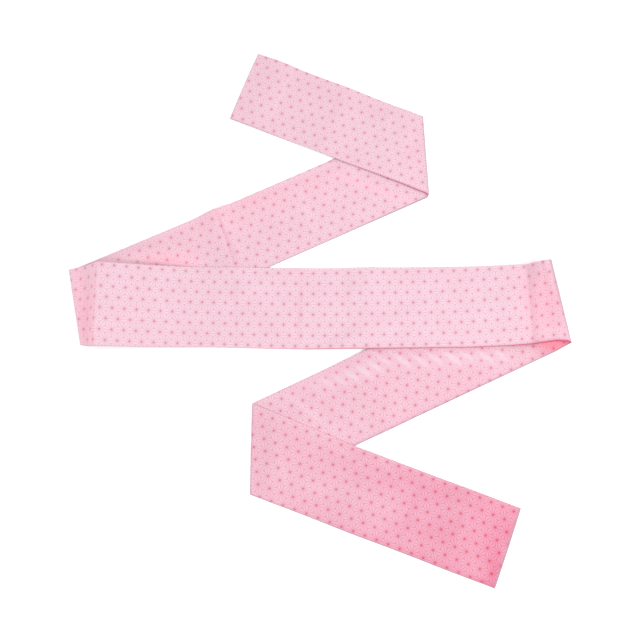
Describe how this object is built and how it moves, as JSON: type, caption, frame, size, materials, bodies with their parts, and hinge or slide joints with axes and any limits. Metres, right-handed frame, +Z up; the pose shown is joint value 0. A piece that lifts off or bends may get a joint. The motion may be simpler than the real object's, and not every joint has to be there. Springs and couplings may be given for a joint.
{
  "type": "obi laid flat in a zigzag",
  "caption": "Half-width obi in printed cotton, laid out in a zigzag of flat stretches with soft turns at the folds.",
  "frame": {"origin": "on the surface the obi lies on, under the middle of its overall box", "axes": "+Z up from the surface; +Y from the second free end towards the first, the longest extent; +X along the long level stretch, to the right of the picture"},
  "size_m": [1.023, 1.1126, 0.0436],
  "materials": {
    "cloth_face": "matt printed cotton, hemp-leaf repeat",
    "cloth_back": "matt printed cotton, hemp-leaf repeat"
  },
  "bodies": {
    "root": {"stretch_1": "cloth_face", "stretch_2": "cloth_back", "stretch_3": "cloth_face", "stretch_4": "cloth_back", "stretch_5": "cloth_face"}
  },
  "joints": []
}
